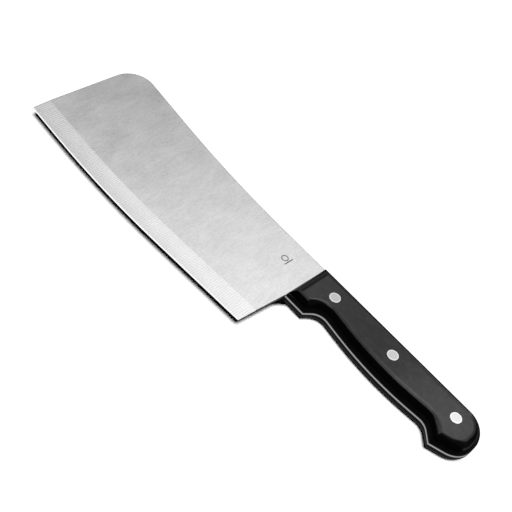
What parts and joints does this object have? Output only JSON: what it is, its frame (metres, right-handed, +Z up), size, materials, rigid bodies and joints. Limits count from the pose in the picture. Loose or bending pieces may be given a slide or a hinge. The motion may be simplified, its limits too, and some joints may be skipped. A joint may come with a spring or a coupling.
{
  "type": "meat cleaver",
  "caption": "Small meat cleaver with a broad rounded-corner blade, full tang and riveted plastic handle scales with a finger guard and hooked butt.",
  "frame": {"origin": "under the centre of the overall box, on the plane that the lower handle scale rests on when the cleaver lies flat", "axes": "+X along the cleaver from the blade's tip to the handle's butt, +Y from the cutting edge to the spine, +Z up out of the blade's flat side"},
  "size_m": [0.2746, 0.0728, 0.0132],
  "materials": {
    "blade_steel": "satin, ground across the blade, with a brighter honed edge",
    "handle_plastic": "satin black, lightly polished",
    "rivet_metal": "satin head with a polished rim"
  },
  "bodies": {
    "root": {"blade": "blade_steel", "handle_scale_upper": "handle_plastic", "handle_scale_lower": "handle_plastic", "rivet_socket_front": "rivet_metal", "rivet_socket_middle": "rivet_metal", "rivet_socket_rear": "rivet_metal", "rivet_stud_front": "rivet_metal", "rivet_stud_middle": "rivet_metal", "rivet_stud_rear": "rivet_metal"}
  },
  "joints": []
}
